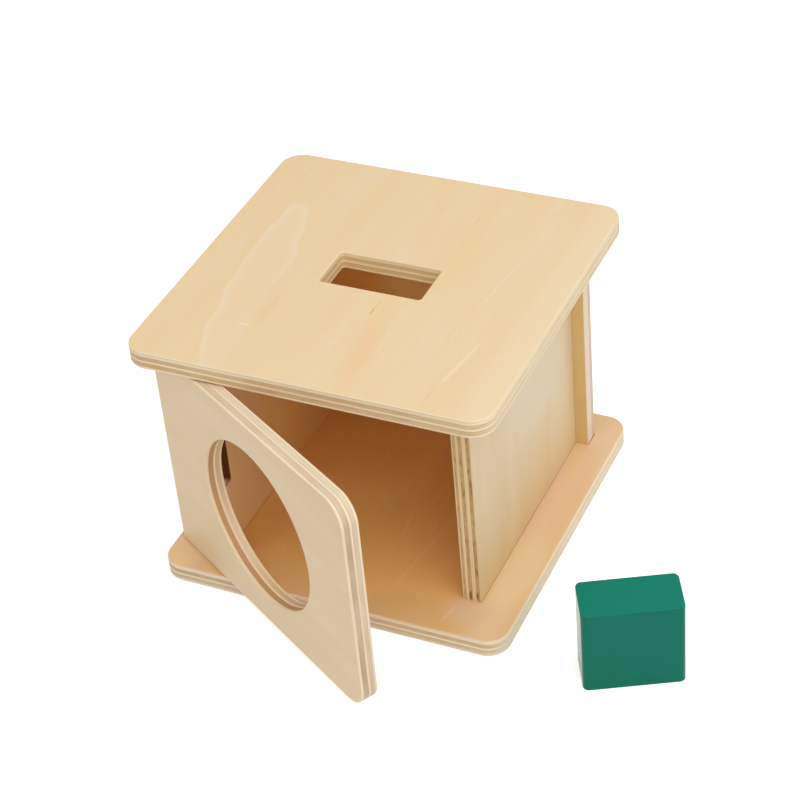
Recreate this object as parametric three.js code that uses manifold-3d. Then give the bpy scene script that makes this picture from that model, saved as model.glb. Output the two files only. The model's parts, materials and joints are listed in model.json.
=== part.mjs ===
// Object permanence box: a plywood box with a posting slot in its top, a door with a round window
// that swings on two pins, and the painted block that is posted through the slot.
// Millimetres, +Z up. X runs along the front, Y into the depth, and the origin is the middle of
// the base's underside. The door stands ajar and the block stands on the floor beside the box.

import * as THREE from 'three';
import { mergeVertices } from 'three/addons/utils/BufferGeometryUtils.js';
import Module from 'manifold-3d';

// Base and top panels, cut alike
const PANEL_WIDTH = 180;
const PANEL_DEPTH = 177;
const PANEL_CORNER_RADIUS = 11;
const SHEET = 9.5;
const BOX_HEIGHT = 139;
const EASED_EDGE = 0.8;

// Walls, glued into shallow grooves
const SIDE_WALL_INSET = 19.7;
const SIDE_WALL_SETBACK = 24.4;
const BACK_WALL_SETBACK = 16.2;
const BACK_WALL_OVERHANG = 6.4;
const GROOVE_DEPTH = 3;
const GLUE_LINE = 0.1;
const BACK_GROOVE_END_CLEARANCE = 0.8;

// Notch in the left wall's front edge
const NOTCH_LENGTH = 50;
const NOTCH_DEPTH = 5.8;
const NOTCH_CORNER_RADIUS = 3;

// Door
const DOOR_SHEET = 9;
const DOOR_END_GAP = 0.7;
const DOOR_WALL_GAP = 0.85;
const DOOR_TAIL = 11;
const DOOR_LAP = 0.9;
const DOOR_CORNER_RADIUS = 12;
const DOOR_OPENING_DEGREES = 30.7;
const PIVOT_INSET = 12.65;
const WINDOW_DIAMETER = 86;
const WINDOW_SHIFT = 2.6;

// Pivot pins, gripped by the door and turning in the panels
const PIN_DIAMETER = 4;
const PIN_GRIP = 12;
const PIN_SEAT = 5;
const PIN_CHAMFER = 0.4;
const PIN_PRESS_CLEARANCE = 0.05;
const PIN_RUNNING_CLEARANCE = 0.1;
const PIN_END_CLEARANCE = 0.3;

// Block, and where it stands from the base's right and front edges
const BLOCK_WIDTH = 47;
const BLOCK_THICKNESS = 23.7;
const BLOCK_HEIGHT = 45.5;
const BLOCK_CORNER_RADIUS = 3;
const BLOCK_EASED_EDGE = 0.5;
const BLOCK_FROM_SIDE = 57.4;
const BLOCK_FROM_FRONT = 15.6;
const BLOCK_TURN_DEGREES = 27.3;

// Posting slot, the block's plan with clearance all round, set a little behind the panel's middle
const SLOT_END_CLEARANCE = 2.5;
const SLOT_FACE_CLEARANCE = 0.8;
const SLOT_SETBACK = 0.8;
const SLOT_CORNER_RADIUS = 1.6;

// How finely curves are drawn, and how far cutters run past a face
const ARC_STEPS = 6;
const EDGE_STEPS = 2;
const PIN_SIDES = 24;
const CUT_OVERRUN = 1;

// Places that follow from the sizes above
const WALL_BOTTOM = SHEET - GROOVE_DEPTH + GLUE_LINE;
const WALL_HEIGHT = BOX_HEIGHT - 2 * WALL_BOTTOM;
const SIDE_WALL_OUTER = PANEL_WIDTH / 2 - SIDE_WALL_INSET;
const SIDE_WALL_MIDDLE = SIDE_WALL_OUTER - SHEET / 2;
const SIDE_WALL_FRONT = SIDE_WALL_SETBACK - PANEL_DEPTH / 2;
const BACK_WALL_FRONT = PANEL_DEPTH / 2 - BACK_WALL_SETBACK - SHEET;
const BACK_WALL_LENGTH = 2 * (SIDE_WALL_OUTER + BACK_WALL_OVERHANG);
const SIDE_WALL_LENGTH = BACK_WALL_FRONT - GLUE_LINE - SIDE_WALL_FRONT;
const PIVOT_X = PIVOT_INSET - PANEL_WIDTH / 2;
const PIVOT_Y = SIDE_WALL_FRONT - DOOR_WALL_GAP - DOOR_SHEET / 2;
const DOOR_REACH = SIDE_WALL_OUTER + DOOR_LAP - PIVOT_X;
const DOOR_BOTTOM = SHEET + DOOR_END_GAP;
const DOOR_HEIGHT = BOX_HEIGHT - 2 * DOOR_BOTTOM;
const PIN_LENGTH = PIN_GRIP + DOOR_END_GAP + PIN_SEAT;

const wasm = await Module();
wasm.setup();

// Joining and cutting

function toSolid(geometry) {
  geometry.deleteAttribute('normal');
  geometry.deleteAttribute('uv');
  const merged = mergeVertices(geometry);
  const vertProperties = new Float32Array(merged.attributes.position.array);
  const triVerts = new Uint32Array(merged.index.array);
  return new wasm.Manifold(new wasm.Mesh({ numProp: 3, vertProperties, triVerts }));
}

function toGeometry(solid) {
  const mesh = solid.getMesh();
  const geometry = new THREE.BufferGeometry();
  geometry.setAttribute('position', new THREE.BufferAttribute(mesh.vertProperties, 3));
  geometry.setIndex(new THREE.BufferAttribute(mesh.triVerts, 1));
  geometry.computeVertexNormals();
  return geometry;
}

function cut(geometry, cutters) {
  let solid = toSolid(geometry);
  for (const cutter of cutters) {
    solid = solid.subtract(toSolid(cutter));
  }
  return toGeometry(solid);
}

// Outlines and sheets

function roundedRectangle(outline, left, bottom, right, top, radii) {
  const [lowLeft, lowRight, highRight, highLeft] = radii;
  outline.moveTo(left + lowLeft, bottom);
  outline.lineTo(right - lowRight, bottom);
  outline.absarc(right - lowRight, bottom + lowRight, lowRight, -Math.PI / 2, 0);
  outline.lineTo(right, top - highRight);
  outline.absarc(right - highRight, top - highRight, highRight, 0, Math.PI / 2);
  outline.lineTo(left + highLeft, top);
  outline.absarc(left + highLeft, top - highLeft, highLeft, Math.PI / 2, Math.PI);
  outline.lineTo(left, bottom + lowLeft);
  outline.absarc(left + lowLeft, bottom + lowLeft, lowLeft, Math.PI, 1.5 * Math.PI);
  return outline;
}

function centredRectangle(outline, width, depth, radius, middleY = 0) {
  const corners = [radius, radius, radius, radius];
  return roundedRectangle(outline, -width / 2, middleY - depth / 2, width / 2, middleY + depth / 2, corners);
}

function circle(outline, x, y, radius) {
  for (let quarter = 0; quarter < 4; quarter += 1) {
    outline.absarc(x, y, radius, quarter * Math.PI / 2, (quarter + 1) * Math.PI / 2);
  }
  return outline;
}

function sheetOf(outline, thickness, ease) {
  const geometry = new THREE.ExtrudeGeometry(outline, {
    depth: thickness - 2 * ease,
    bevelEnabled: ease > 0,
    bevelThickness: ease,
    bevelSize: ease,
    bevelOffset: -ease,
    bevelSegments: EDGE_STEPS,
    curveSegments: ARC_STEPS,
  });
  return geometry.translate(0, 0, ease);
}

function boxBetween(low, high) {
  const size = new THREE.Vector3().subVectors(high, low);
  const middle = new THREE.Vector3().addVectors(low, high).multiplyScalar(0.5);
  return new THREE.BoxGeometry(size.x, size.y, size.z).translate(middle.x, middle.y, middle.z);
}

// Turns a sheet drawn flat into one that stands up along Y or along X
function standAlongY(geometry) {
  const turn = new THREE.Matrix4().makeBasis(
    new THREE.Vector3(0, 1, 0),
    new THREE.Vector3(0, 0, 1),
    new THREE.Vector3(1, 0, 0),
  );
  return geometry.applyMatrix4(turn);
}

function standAlongX(geometry) {
  return geometry.rotateX(Math.PI / 2);
}

// A blind hole that runs down from z = 0
function pinHole(radius, depth) {
  const length = depth + CUT_OVERRUN;
  const hole = new THREE.CylinderGeometry(radius, radius, length, PIN_SIDES);
  return hole.rotateX(Math.PI / 2).translate(0, 0, CUT_OVERRUN - length / 2);
}

// Grooves for the three walls, in a face that lies at z = 0 and looks up
function grooves() {
  const low = -GROOVE_DEPTH;
  const backEnd = BACK_WALL_LENGTH / 2 + BACK_GROOVE_END_CLEARANCE;
  const back = boxBetween(
    new THREE.Vector3(-backEnd, BACK_WALL_FRONT - GLUE_LINE, low),
    new THREE.Vector3(backEnd, BACK_WALL_FRONT + SHEET + GLUE_LINE, CUT_OVERRUN),
  );
  const sides = [-1, 1].map((side) => boxBetween(
    new THREE.Vector3(side * SIDE_WALL_MIDDLE - SHEET / 2 - GLUE_LINE, SIDE_WALL_FRONT - GLUE_LINE, low),
    new THREE.Vector3(side * SIDE_WALL_MIDDLE + SHEET / 2 + GLUE_LINE, BACK_WALL_FRONT, CUT_OVERRUN),
  ));
  return [back, ...sides];
}

function panelPinHole() {
  return pinHole(PIN_DIAMETER / 2 + PIN_RUNNING_CLEARANCE, PIN_SEAT + PIN_END_CLEARANCE);
}

// The pieces

function basePanel() {
  const outline = centredRectangle(new THREE.Shape(), PANEL_WIDTH, PANEL_DEPTH, PANEL_CORNER_RADIUS);
  const cutters = [...grooves(), panelPinHole().translate(PIVOT_X, PIVOT_Y, 0)];
  cutters.forEach((cutter) => cutter.translate(0, 0, SHEET));
  return cut(sheetOf(outline, SHEET, EASED_EDGE), cutters);
}

function topPanel() {
  const outline = centredRectangle(new THREE.Shape(), PANEL_WIDTH, PANEL_DEPTH, PANEL_CORNER_RADIUS);
  const slotWidth = BLOCK_WIDTH + 2 * SLOT_END_CLEARANCE;
  const slotDepth = BLOCK_THICKNESS + 2 * SLOT_FACE_CLEARANCE;
  const slot = centredRectangle(new THREE.Path(), slotWidth, slotDepth, SLOT_CORNER_RADIUS, SLOT_SETBACK);
  outline.holes.push(slot);
  const cutters = grooves().map((groove) => groove.rotateY(Math.PI));
  cutters.push(panelPinHole().rotateY(Math.PI).translate(PIVOT_X, PIVOT_Y, 0));
  return cut(sheetOf(outline, SHEET, EASED_EDGE), cutters);
}

function sideWall() {
  const outline = roundedRectangle(new THREE.Shape(), 0, 0, SIDE_WALL_LENGTH, WALL_HEIGHT, [0, 0, 0, 0]);
  return standAlongY(sheetOf(outline, SHEET, 0).translate(0, 0, -SHEET / 2));
}

function notchedSideWall() {
  const notch = roundedRectangle(
    new THREE.Shape(),
    -CUT_OVERRUN,
    (WALL_HEIGHT - NOTCH_LENGTH) / 2,
    NOTCH_DEPTH,
    (WALL_HEIGHT + NOTCH_LENGTH) / 2,
    [0, NOTCH_CORNER_RADIUS, NOTCH_CORNER_RADIUS, 0],
  );
  const cutterDepth = SHEET + 2 * CUT_OVERRUN;
  return cut(sideWall(), [standAlongY(sheetOf(notch, cutterDepth, 0).translate(0, 0, -cutterDepth / 2))]);
}

function backWall() {
  const half = BACK_WALL_LENGTH / 2;
  const outline = roundedRectangle(new THREE.Shape(), -half, 0, half, WALL_HEIGHT, [0, 0, 0, 0]);
  return standAlongX(sheetOf(outline, SHEET, 0));
}

// The door's face, cut to a plan whose hinge end is half round, about the pivot's foot
function door() {
  const corners = [0, DOOR_CORNER_RADIUS, DOOR_CORNER_RADIUS, 0];
  const face = roundedRectangle(new THREE.Shape(), -DOOR_TAIL, 0, DOOR_REACH, DOOR_HEIGHT, corners);
  const windowX = (DOOR_REACH - DOOR_TAIL) / 2 + WINDOW_SHIFT;
  face.holes.push(circle(new THREE.Path(), windowX, DOOR_HEIGHT / 2, WINDOW_DIAMETER / 2));
  const sheet = standAlongX(sheetOf(face, DOOR_SHEET, EASED_EDGE).translate(0, 0, -DOOR_SHEET / 2));

  const nose = DOOR_SHEET / 2;
  const plan = roundedRectangle(
    new THREE.Shape(), -DOOR_TAIL, -nose, DOOR_REACH + CUT_OVERRUN, nose, [nose, 0, 0, nose],
  );
  const tall = sheetOf(plan, DOOR_HEIGHT, 0);

  const radius = PIN_DIAMETER / 2 + PIN_PRESS_CLEARANCE;
  const upperHole = pinHole(radius, PIN_GRIP + PIN_END_CLEARANCE).translate(0, 0, DOOR_HEIGHT);
  const lowerHole = pinHole(radius, PIN_GRIP + PIN_END_CLEARANCE).rotateX(Math.PI);
  const blank = toSolid(sheet).intersect(toSolid(tall));
  return cut(toGeometry(blank), [upperHole, lowerHole]);
}

function pivotPin() {
  const radius = PIN_DIAMETER / 2;
  const profile = [
    new THREE.Vector2(0, 0),
    new THREE.Vector2(radius - PIN_CHAMFER, 0),
    new THREE.Vector2(radius, PIN_CHAMFER),
    new THREE.Vector2(radius, PIN_LENGTH - PIN_CHAMFER),
    new THREE.Vector2(radius - PIN_CHAMFER, PIN_LENGTH),
    new THREE.Vector2(0, PIN_LENGTH),
  ];
  return new THREE.LatheGeometry(profile, PIN_SIDES).rotateX(Math.PI / 2);
}

function postingBlock() {
  const outline = centredRectangle(new THREE.Shape(), BLOCK_WIDTH, BLOCK_THICKNESS, BLOCK_CORNER_RADIUS);
  return sheetOf(outline, BLOCK_HEIGHT, BLOCK_EASED_EDGE);
}

// Finishes

function lacqueredPlywood() {
  return new THREE.MeshStandardMaterial({ color: 0xe6cba2, roughness: 0.5, metalness: 0 });
}

function greenPaint() {
  return new THREE.MeshStandardMaterial({ color: 0x237a65, roughness: 0.35, metalness: 0 });
}

function brightSteel() {
  return new THREE.MeshStandardMaterial({ color: 0xb9bcc0, roughness: 0.3, metalness: 1 });
}

// Assembly

function piece(name, geometry, material, x, y, z) {
  const mesh = new THREE.Mesh(geometry, material);
  mesh.name = name;
  mesh.position.set(x, y, z);
  return mesh;
}

const box = new THREE.Group();
box.add(
  piece('base_panel', basePanel(), lacqueredPlywood(), 0, 0, 0),
  piece('top_panel', topPanel(), lacqueredPlywood(), 0, 0, BOX_HEIGHT - SHEET),
  piece('left_wall', notchedSideWall(), lacqueredPlywood(), -SIDE_WALL_MIDDLE, SIDE_WALL_FRONT, WALL_BOTTOM),
  piece('right_wall', sideWall(), lacqueredPlywood(), SIDE_WALL_MIDDLE, SIDE_WALL_FRONT, WALL_BOTTOM),
  piece('back_wall', backWall(), lacqueredPlywood(), 0, BACK_WALL_FRONT + SHEET, WALL_BOTTOM),
);

const swingingDoor = new THREE.Group();
swingingDoor.position.set(PIVOT_X, PIVOT_Y, DOOR_BOTTOM);
swingingDoor.rotation.z = -THREE.MathUtils.degToRad(DOOR_OPENING_DEGREES);
const pinOverhang = DOOR_END_GAP + PIN_SEAT;
swingingDoor.add(
  piece('door', door(), lacqueredPlywood(), 0, 0, 0),
  piece('lower_pivot_pin', pivotPin(), brightSteel(), 0, 0, -pinOverhang),
  piece('upper_pivot_pin', pivotPin(), brightSteel(), 0, 0, DOOR_HEIGHT - PIN_GRIP),
);
box.add(swingingDoor);

const blockX = PANEL_WIDTH / 2 + BLOCK_FROM_SIDE;
const blockY = BLOCK_FROM_FRONT - PANEL_DEPTH / 2;
const block = piece('posting_block', postingBlock(), greenPaint(), blockX, blockY, 0);
block.rotation.z = THREE.MathUtils.degToRad(BLOCK_TURN_DEGREES);
box.add(block);

export default box;
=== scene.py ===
# Object permanence box: a lacquered plywood box with a posting slot in its top, a door with a round
# window that stands ajar on two hidden pins, and the painted block that is posted through the slot.
# Metres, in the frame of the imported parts: X along the front, Y into the depth, Z up, and the
# origin under the middle of the base.

import json
import math
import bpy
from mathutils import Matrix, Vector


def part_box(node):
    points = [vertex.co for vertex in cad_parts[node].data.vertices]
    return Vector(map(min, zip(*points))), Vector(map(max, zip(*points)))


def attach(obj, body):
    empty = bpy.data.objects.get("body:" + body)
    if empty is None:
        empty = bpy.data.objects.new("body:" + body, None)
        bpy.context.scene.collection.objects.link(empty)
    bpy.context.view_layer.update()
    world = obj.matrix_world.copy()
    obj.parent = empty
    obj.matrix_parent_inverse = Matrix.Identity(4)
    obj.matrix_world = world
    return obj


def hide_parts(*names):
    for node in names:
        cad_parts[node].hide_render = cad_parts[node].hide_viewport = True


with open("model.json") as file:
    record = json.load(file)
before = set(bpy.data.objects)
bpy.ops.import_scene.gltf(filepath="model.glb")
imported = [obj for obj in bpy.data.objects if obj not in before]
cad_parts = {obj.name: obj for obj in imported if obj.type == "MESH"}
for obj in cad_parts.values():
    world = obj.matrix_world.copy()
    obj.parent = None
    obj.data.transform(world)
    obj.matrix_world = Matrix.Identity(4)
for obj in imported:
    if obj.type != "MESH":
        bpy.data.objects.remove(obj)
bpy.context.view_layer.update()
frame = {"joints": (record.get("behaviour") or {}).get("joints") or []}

from types import SimpleNamespace

import bmesh
import bpy
from mathutils import Matrix, Vector

MM = 0.001

# Base and top panels
PANEL_CORNER = 11 * MM
EASE = 0.8 * MM
GROOVE_DEPTH = 3 * MM
GLUE_LINE = 0.1 * MM
GROOVE_RUNOUT = 0.4 * MM
SLOT_WIDTH = 52 * MM
SLOT_DEPTH = 25.3 * MM
SLOT_SETBACK = 0.8 * MM
SLOT_CORNER = 1.6 * MM

# Walls
WALL_EASE = 0.3 * MM
NOTCH_LENGTH = 50 * MM
NOTCH_DEPTH = 5.8 * MM
NOTCH_CORNER = 3 * MM

# Door
DOOR_SHEET = 9 * MM
DOOR_TAIL = 11 * MM
DOOR_LAP = 0.9 * MM
DOOR_CORNER = 12 * MM
WINDOW_RADIUS = 43 * MM
WINDOW_SHIFT = 2.6 * MM

# Pivot pins, and the holes that take them
PIN_RADIUS = 2 * MM
PIN_CHAMFER = 0.4 * MM
PIN_GRIP = 12 * MM
PIN_SEAT = 5 * MM
PIN_PRESS_CLEARANCE = 0.05 * MM
PIN_RUNNING_CLEARANCE = 0.1 * MM
PIN_END_CLEARANCE = 0.3 * MM

# Block
BLOCK_WIDTH = 47 * MM
BLOCK_THICKNESS = 23.7 * MM
BLOCK_HEIGHT = 45.5 * MM
BLOCK_CORNER = 3 * MM
BLOCK_EASE = 0.5 * MM
BLOCK_TURN = math.radians(27.3)

# How finely curves are drawn, how far cutters run past a face, and the angle from which an edge is crisp
ARC_STEPS = 12
EASE_STEPS = 4
WINDOW_STEPS = 128
PIN_SIDES = 48
CUT_OVERRUN = 1 * MM
SHARP_ANGLE = math.radians(35)

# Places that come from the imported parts. The door's swing ends where it is closed, so the upper limit is
# how far it stands open.
BASE_LOW, BASE_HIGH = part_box("base_panel")
TOP_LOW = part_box("top_panel")[0]
LEFT_LOW, LEFT_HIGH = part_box("left_wall")
RIGHT_LOW, RIGHT_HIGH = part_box("right_wall")
BACK_LOW, BACK_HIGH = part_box("back_wall")
DOOR_LOW, DOOR_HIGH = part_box("door")
BLOCK_LOW, BLOCK_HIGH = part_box("posting_block")
DOOR_SWING = next(joint for joint in frame["joints"] if joint["name"] == "door_swing")
PIVOT = Vector((*DOOR_SWING["pos_m"][:2], 0))
DOOR_OPENING = math.radians(DOOR_SWING["range_deg"][1])
PANEL_SHEET = BASE_HIGH.z - BASE_LOW.z
WALL_SHEET = RIGHT_HIGH.x - RIGHT_LOW.x
DOOR_REACH = RIGHT_HIGH.x + DOOR_LAP - PIVOT.x
WINDOW_X = (DOOR_REACH - DOOR_TAIL) / 2 + WINDOW_SHIFT
DOOR_HEIGHT = DOOR_HIGH.z - DOOR_LOW.z

# The curve of the sRGB standard
SRGB_FULL = 255
SRGB_TOE = 0.04045
SRGB_TOE_SLOPE = 12.92
SRGB_OFFSET = 0.055
SRGB_POWER = 2.4

# Noises: how many octaves most of them and the fine lines have, and the place of each after the seed of
# its sheet
NOISE_OCTAVES = 2
LINE_OCTAVES = 1
WAVE, FIGURE, PATCH, STREAK, VESSEL, FLECK, WANDER, LAYER = range(8)

# Plywood faces: width and length of the marks along the grain, and the noise levels between which they
# come up. Real vessel lines are about 0.1 mm wide, and are drawn wider so that they show.
FIGURE_ACROSS = 14 * MM
FIGURE_ALONG = 90 * MM
PATCH_ACROSS = 30 * MM
PATCH_ALONG = 70 * MM
STREAK_ACROSS = 1.2 * MM
STREAK_ALONG = 40 * MM
VESSEL_ACROSS = 0.6 * MM
VESSEL_ALONG = 14 * MM
WAVE_LENGTH = 60 * MM
WAVE_HEIGHT = 6 * MM
STREAK_SHARE = 0.12
TONE_RANGE = (0.36, 0.64)
PATCH_RANGE = (0.42, 0.64)
STREAK_RANGE = (0.54, 0.74)
VESSEL_RANGE = (0.62, 0.76)
STREAK_STRENGTH = 0.45
VESSEL_STRENGTH = 0.7
LINE_WHITENESS = 0.4
LINE_PALE = "#fbeedb"

# Plywood edges: blurred borders and dark glue lines between the plies as shares of the sheet, how far
# the plies wander and fade, thin layers along them, flecks where fibres end, and the skin of veneer
PLY_BLUR = 0.012
PLY_WANDER = 0.25 * MM
PLY_WANDER_LENGTH = 25 * MM
PLY_FADE = 0.35
GLUE_WIDTH = 0.03
GLUE_STRENGTH = 0.4
GLUE_BROWN = "#a98560"
LAYER_LENGTH = 60 * MM
LAYER_DEPTH = 0.5 * MM
LAYER_RANGE = (0.5, 0.72)
LAYER_STRENGTH = 0.3
FLECK_LENGTH = 6 * MM
FLECK_DEPTH = 0.8 * MM
FLECK_RANGE = (0.5, 0.68)
FLECK_DARK = "#7c5837"
VENEER_SKIN = 0.35 * MM

# The sheets. Plies are shares of the sheet from the under face up, each with how brown it is, and
# brown_ends is how brown the edges look that face along the sheet's X and Y. Faces have a darker and
# a paler colour. The faces that look into the box have warmer, deeper colours than the outer faces:
# that is painted shade of the box's inside.
TOP_WOOD = SimpleNamespace(
    plies=((0.17, 0), (0.225, 1), (0.14, 0), (0.21, 0.95), (0.15, 0), (0.03, 0.35), (0.075, 0)),
    brown_ends=(0.45, 1),
    pale="#f2e0bf", brown="#d4ae78", upper=("#ebcb9c", "#ebd0a6"), under=("#f0bb78", "#f4c588"),
    grain="Y", streaks=0.7, flecks=0.2, seed=60)
BASE_WOOD = SimpleNamespace(
    plies=((0.21, 0.1), (0.2, 0.8), (0.14, 0), (0.22, 1), (0.23, 0.1)), brown_ends=(0.4, 1),
    pale="#f5e5cb", brown="#d3b487", upper=("#e4bf8b", "#e8c59e"), under=("#e9ca9a", "#edd2aa"),
    grain="Y", streaks=0.15, flecks=0.2, seed=50)
RIGHT_WOOD = SimpleNamespace(
    plies=((0.09, 0), (0.11, 0.75), (0.165, 0), (0.18, 0.85), (0.215, 0), (0.175, 1), (0.065, 0)),
    brown_ends=(1, 1), pale="#eed9aa", brown="#c2935f", upper=("#dbc097", "#e0c7a1"),
    under=("#efc183", "#f2ca92"), grain="Y", streaks=0.3, flecks=1, seed=70)
LEFT_WOOD = SimpleNamespace(
    plies=RIGHT_WOOD.plies[::-1], brown_ends=(1, 1), pale=RIGHT_WOOD.pale, brown=RIGHT_WOOD.brown,
    upper=("#eec48c", "#f1cd9b"), under=RIGHT_WOOD.upper, grain="Y", streaks=0.3, flecks=1, seed=80)
BACK_WOOD = SimpleNamespace(
    plies=((0.35, 0.7), (0.65, 0)), brown_ends=(1, 1), pale="#eddcc6", brown="#d6b796",
    upper=("#e0be80", "#e6c88f"), under=RIGHT_WOOD.upper, grain="Y", streaks=0.3, flecks=0.2, seed=90)
DOOR_WOOD = SimpleNamespace(
    plies=((0.17, 0), (0.25, 0.57), (0.12, 0), (0.3, 1), (0.16, 0)), brown_ends=(1, 0.55),
    pale="#f2dfbf", brown="#bca082", upper=("#e7ca9f", "#ead0aa"), under=("#f0b878", "#f3c288"),
    grain="X", streaks=0.2, flecks=0.1, seed=100)

# Cut faces: the plies in the slot and round the window, where low on the left the half-brown ply pales by
# a power and the brown one has red flecks, and the painted deep shade on the notch in the left wall
SLOT_PALE = "#f3dcb0"
SLOT_BROWN = "#ddbb87"
RIM_PALE = "#f1dab2"
RIM_BROWN = "#c2976a"
RIM_RED = "#d39a72"
RIM_PALING = 3
RED_ANGLE = math.radians(228)
RED_REACH = 34 * MM
RED_FLECK = 2 * MM
RED_RANGE = (0.4, 0.6)
RED_SEED = 11
NOTCH_SHADE = "#683f24"

# Painted warm bounce light toward the foot of the right wall, painted shade in the depth of the left
# one, and the thin line of painted shadow where a wall enters its groove
FOOT_HEIGHT = 55 * MM
FOOT_BOUNCE_TINT = "#fff8e8"
DEPTH_START = 25 * MM
DEPTH_FULL = 75 * MM
DEPTH_SHADE_COLOUR = "#f0c17a"
JOINT_SHADOW_WIDTH = 0.6 * MM
JOINT_SHADOW_COLOUR = "#8a6238"
JOINT_SHADOW_STRENGTH = 0.35

# Clear satin lacquer
LACQUER_IOR = 1.5
LACQUER_SPECULAR = 0.3
FACE_ROUGHNESS = 0.42
EDGE_ROUGHNESS = 0.62
ROUGHNESS_SPREAD = 0.06
GRAIN_BUMP = 0.25
GRAIN_DEPTH = 0.05 * MM

# The tongue of paler wood on the top. Its left and right edges are pairs in mm: a distance in front of
# the tip, and x there.
TONGUE_TIP = 46 * MM
TONGUE_LENGTH = 132 * MM
TONGUE_LEFT = (
    (0, -65), (2, -66.8), (12, -67.9), (34, -69.1), (46, -69), (76, -66.1), (91, -62.1), (105, -61),
    (120, -56.4), (132, -50.7))
TONGUE_RIGHT = (
    (0, -63), (2, -59), (7, -55.4), (20, -51.4), (34, -48.3), (40, -45), (46, -43.9), (65, -44.4),
    (91, -42.6), (132, -38))
TONGUE_SPAN = (-70 * MM, -30 * MM)
TONGUE_WANDER = 2 * MM
TONGUE_WANDER_LENGTH = 12 * MM
TONGUE_BLUR = 1 * MM
TONGUE_MARGIN = 5 * MM
TONGUE_FADE = (45 * MM, 85 * MM)
TONGUE_STRENGTH = 0.17
MARGIN_STRENGTH = 0.45
TONGUE_PALE = "#f0dcc0"
TONGUE_SEED = 3
TONGUE_OCTAVES = 4

# Single marks in their sheet: middle and half sizes in mm, turn about the face's normal in degrees, colour
# and strength. Each fades from its core, a share of its size, to its rim.
MARK_CORE = 0.4
TOP_MARKS = (
    ((86, -5, 9.5), (16, 180, 0.5), 0, "#eed7b1", 0.6),
    ((17.5, -58, 9.5), (8, 30, 0.5), 0, "#ecc492", 0.5),
    ((-38, -40, 9.5), (3.5, 16, 0.5), 0, "#ecc48c", 0.5),
    ((62.2, -53.5, 9.5), (1.3, 27, 0.5), -9.3, "#f4e2c4", 0.5),
    ((58.6, -74, 9.5), (1.2, 12, 0.5), -9.3, "#e6bd86", 0.4),
    ((56.1, 7.5, 9.5), (0.8, 36, 0.5), -7, "#f2dcb4", 0.4),
    ((8.7, -22.5, 9.5), (0.4, 7.5, 0.5), -2, "#b8955f", 0.25),
    ((8.35, -27, 9.5), (0.4, 3.4, 0.5), -4, "#7d6243", 0.5),
    ((-43.6, -54.3, 9.5), (4.2, 0.7, 0.5), 0, "#f6e6d8", 0.7),
)
BASE_MARKS = (
    # Painted shade: a darker patch on the front of the base
    ((42, -84, 9.5), (38, 22, 0.5), 0, "#cfa868", 0.4),
    ((79, -38, 9.5), (13, 38, 0.5), 0, "#ebd3a8", 0.5),
    # Painted light: a paler patch at the base's left front corner, beside the door's pivot
    ((-84, -78, 9.5), (16, 24, 0.5), 0, "#f3cd9a", 0.9),
    # Painted shade inside the box: deeper orange patches on the left, toward the back and behind the window
    ((-38, 30, 9.5), (48, 46, 0.5), 0, "#da8d34", 0.35),
    ((-56, -48, 9.5), (22, 26, 0.5), 0, "#e0aa60", 0.6),
    ((66, -71, 9.5), (15, 14, 0.5), 0, "#dfc09a", 0.7),
    ((58.4, -76.2, 9.5), (1.3, 10, 0.5), -13, "#f0d9b4", 0.25),
    ((13.7, -20.2, 9.5), (0.9, 20, 0.5), 9.6, "#f8cd86", 0.4),
    ((30, -41.4, 9.5), (1.2, 36, 0.5), -8, "#f8cd86", 0.4),
)
RIGHT_WALL_MARKS = (
    ((118, 30, 9.5), (40, 50, 0.5), 0, "#e8d5b4", 0.25),
    ((80, 82, 9.5), (62, 42, 0.5), 0, "#e4d5ba", 0.5),
    ((0, 6, 4), (1, 3.4, 1), 0, "#6d4a2c", 0.8),
    ((0, 6.5, 7.6), (1, 3, 0.9), 0, "#6d4a2c", 0.7),
)
BACK_WALL_MARKS = (
    # Painted shade and light on the back wall's inner face: deeper orange toward the left corner, paler to
    # its right
    ((19, 77, 9.5), (45, 60, 0.5), 0, "#ebb05f", 0.9),
    ((80, 77, 9.5), (45, 60, 0.5), 0, "#f6d090", 0.8),
)

# The base inside the box: where its painted shade, a warmer and deeper colour, starts and is at its full,
# how far apart scuffs lie, the noise levels that draw them, and the size of the patches they are in
PAINTED_SHADE_START = -105 * MM
PAINTED_SHADE_FULL = -58 * MM
PAINTED_SHADE_STRENGTH = 0.85
PAINTED_SHADE_COLOUR = "#f2be6e"
SCUFF_PALE = "#f8cd86"
SCUFF_SPACING = 5 * MM
SCUFF_LENGTH = 22 * MM
SCUFF_LEVEL = 0.5
SCUFF_WIDTH = 0.04
SCUFF_STRENGTH = 0.4
SCUFF_SEED = 21
SCUFF_OCTAVES = 3
WORN_PATCH = 18 * MM
WORN_RANGE = (0.42, 0.62)
WORN_SEED = 22

# Satin green enamel. A real orange peel is about 1 mm from crest to crest.
PAINT_LIT_TOP = "#0f806a"
PAINT_SHADED_SIDE = "#0e745f"
PAINT_DEEP = "#06604c"
PAINT_CLOUD_SHARE = 0.12
PAINT_CLOUD = 14 * MM
PAINT_PEEL = 1 * MM
PAINT_GRAIN_ACROSS = 0.8 * MM
PAINT_GRAIN_ALONG = 20 * MM
PAINT_GRAIN_SHARE = 0.4
PAINT_DEPTH = 0.03 * MM
PAINT_BUMP = 0.25
PAINT_IOR = 1.5
PAINT_SPECULAR = 0.08
PAINT_ROUGHNESS = 0.2
PAINT_CLOUD_SEED = 31
PAINT_PEEL_SEED = 32
PAINT_GRAIN_SEED = 33

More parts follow.
